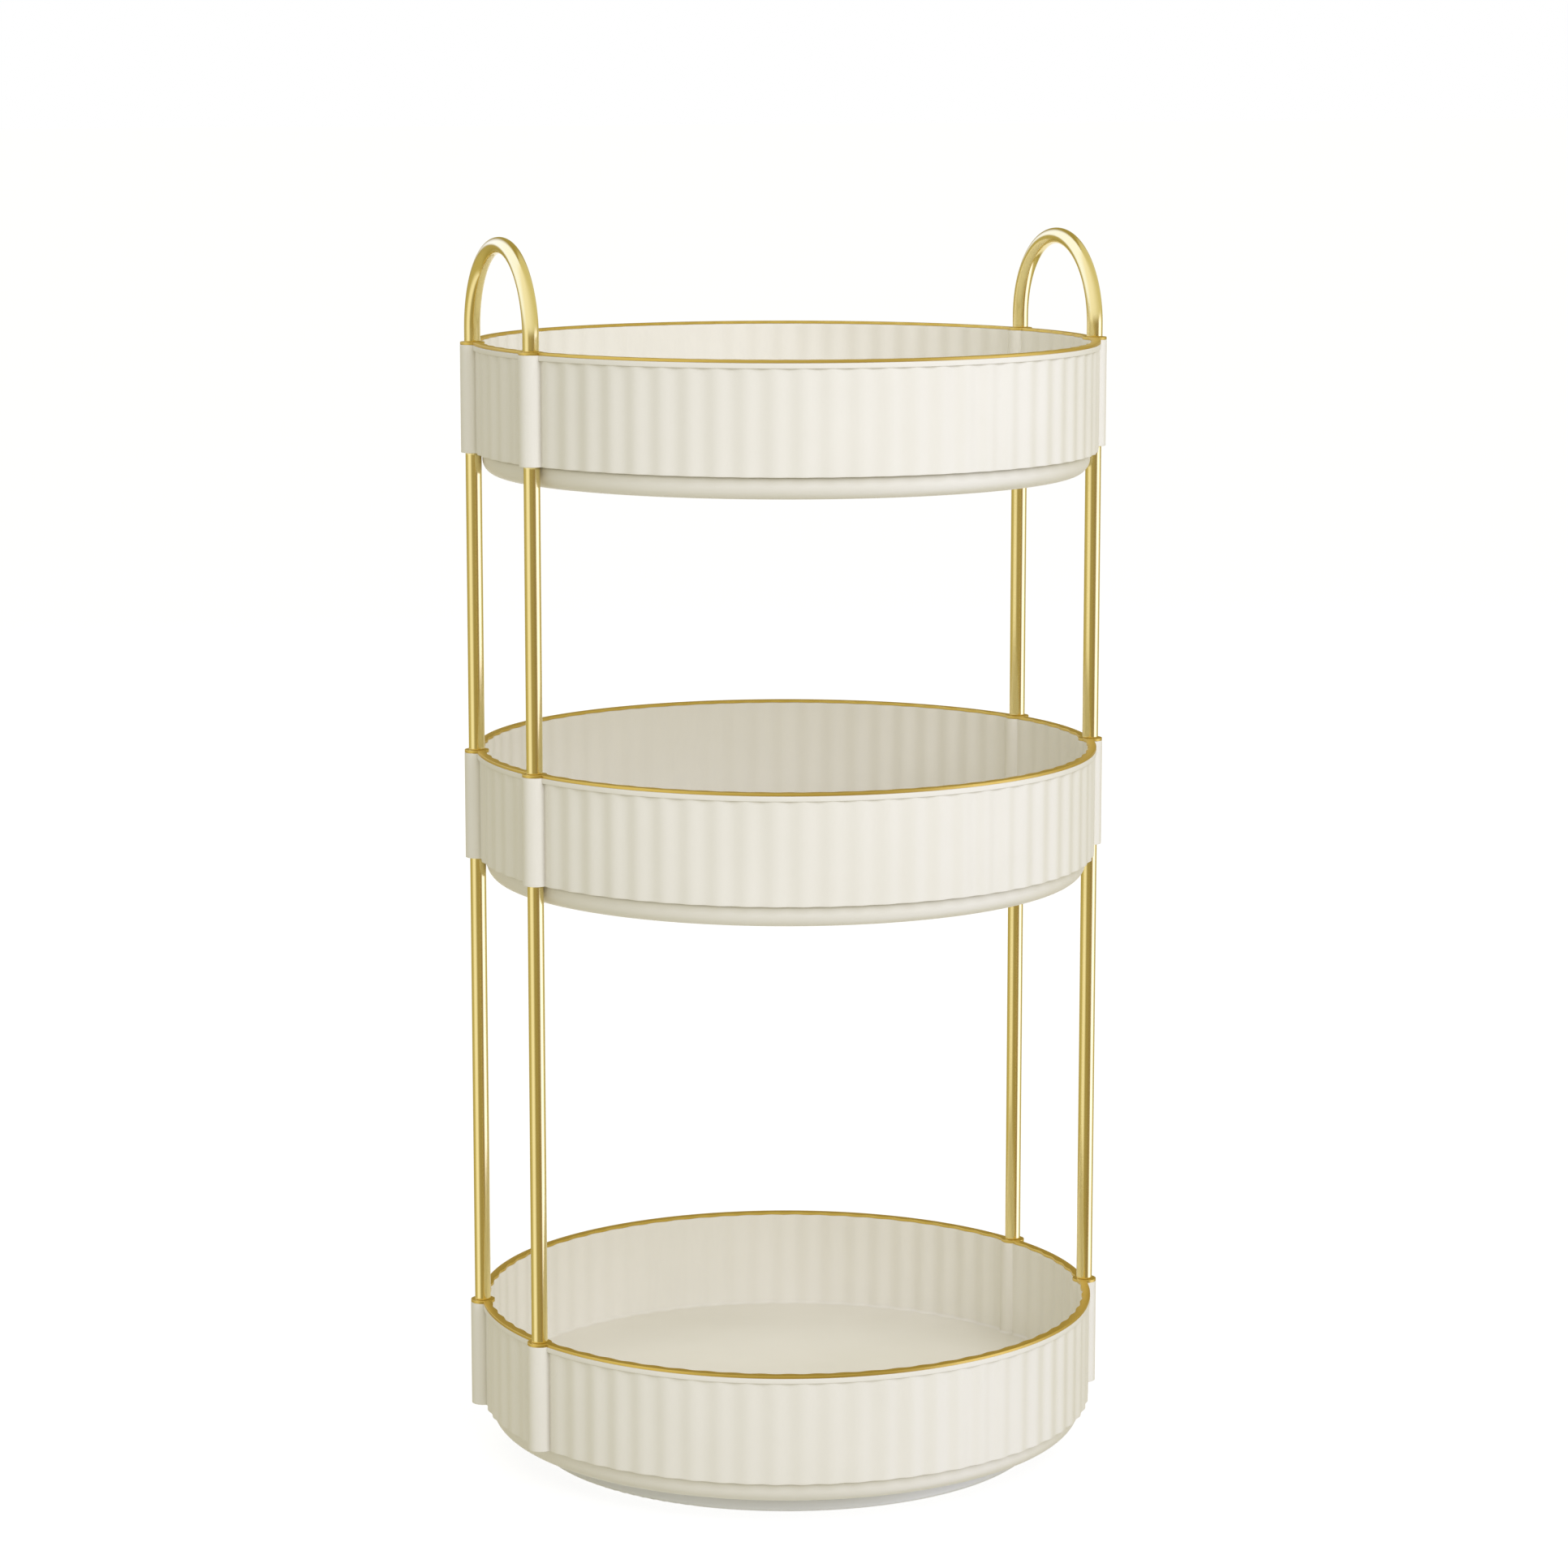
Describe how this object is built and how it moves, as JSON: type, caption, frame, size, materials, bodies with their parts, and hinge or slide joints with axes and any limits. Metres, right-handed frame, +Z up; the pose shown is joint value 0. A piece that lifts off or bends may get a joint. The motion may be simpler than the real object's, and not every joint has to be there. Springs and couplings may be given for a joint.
{
  "type": "rotating makeup organizer",
  "caption": "Rotating cosmetics stand: fluted round trays stacked on gold tubes with hoop handles, spinning on a ball-bearing turntable base.",
  "frame": {"origin": "on the table, on the turntable's vertical axis, at the underside of the foot pads", "axes": "+Z up along the turntable's axis, X through the middle of the two handle hoops"},
  "size_m": [0.2344, 0.2344, 0.4635],
  "materials": {
    "cream_plastic": "satin moulded",
    "gold_trim": "polished gold colour",
    "gold_tube": "polished gold plating",
    "white_plastic": "satin moulded",
    "grey_plastic": "moulded",
    "bearing_steel": "polished",
    "zinc_steel": "zinc plated",
    "rubber": "matte"
  },
  "bodies": {
    "base": {"base_disc": "white_plastic", "foot_pads": "rubber"},
    "ball_ring": {"ball_cage": "grey_plastic", "bearing_balls": "bearing_steel"},
    "carousel": {"turntable_plate": "grey_plastic", "plate_screws": "zinc_steel", "pivot_washer": "zinc_steel", "pivot_screw": "zinc_steel", "bottom_tray": "cream_plastic", "middle_tray": "cream_plastic", "top_tray": "cream_plastic", "bottom_rim_trim": "gold_trim", "middle_rim_trim": "gold_trim", "top_rim_trim": "gold_trim", "lower_tube_left_front": "gold_tube", "lower_tube_left_rear": "gold_tube", "lower_tube_right_front": "gold_tube", "lower_tube_right_rear": "gold_tube", "upper_tube_left_front": "gold_tube", "upper_tube_left_rear": "gold_tube", "upper_tube_right_front": "gold_tube", "upper_tube_right_rear": "gold_tube", "left_handle_hoop": "gold_tube", "right_handle_hoop": "gold_tube", "bottom_joint_screws": "zinc_steel", "middle_joint_studs": "zinc_steel", "top_joint_studs": "zinc_steel"}
  },
  "joints": [
    {"name": "turntable_spin", "type": "hinge", "parent": "base", "child": "carousel", "pos_m": [0, 0, 0], "axis": [0, 0, 1], "continuous": true},
    {"name": "ball_ring_spin", "type": "hinge", "parent": "base", "child": "ball_ring", "pos_m": [0, 0, 0], "axis": [0, 0, 1], "continuous": true}
  ],
  "couplings": [
    {"joint": "ball_ring_spin", "follows": "turntable_spin", "ratio": 0.41421}
  ]
}
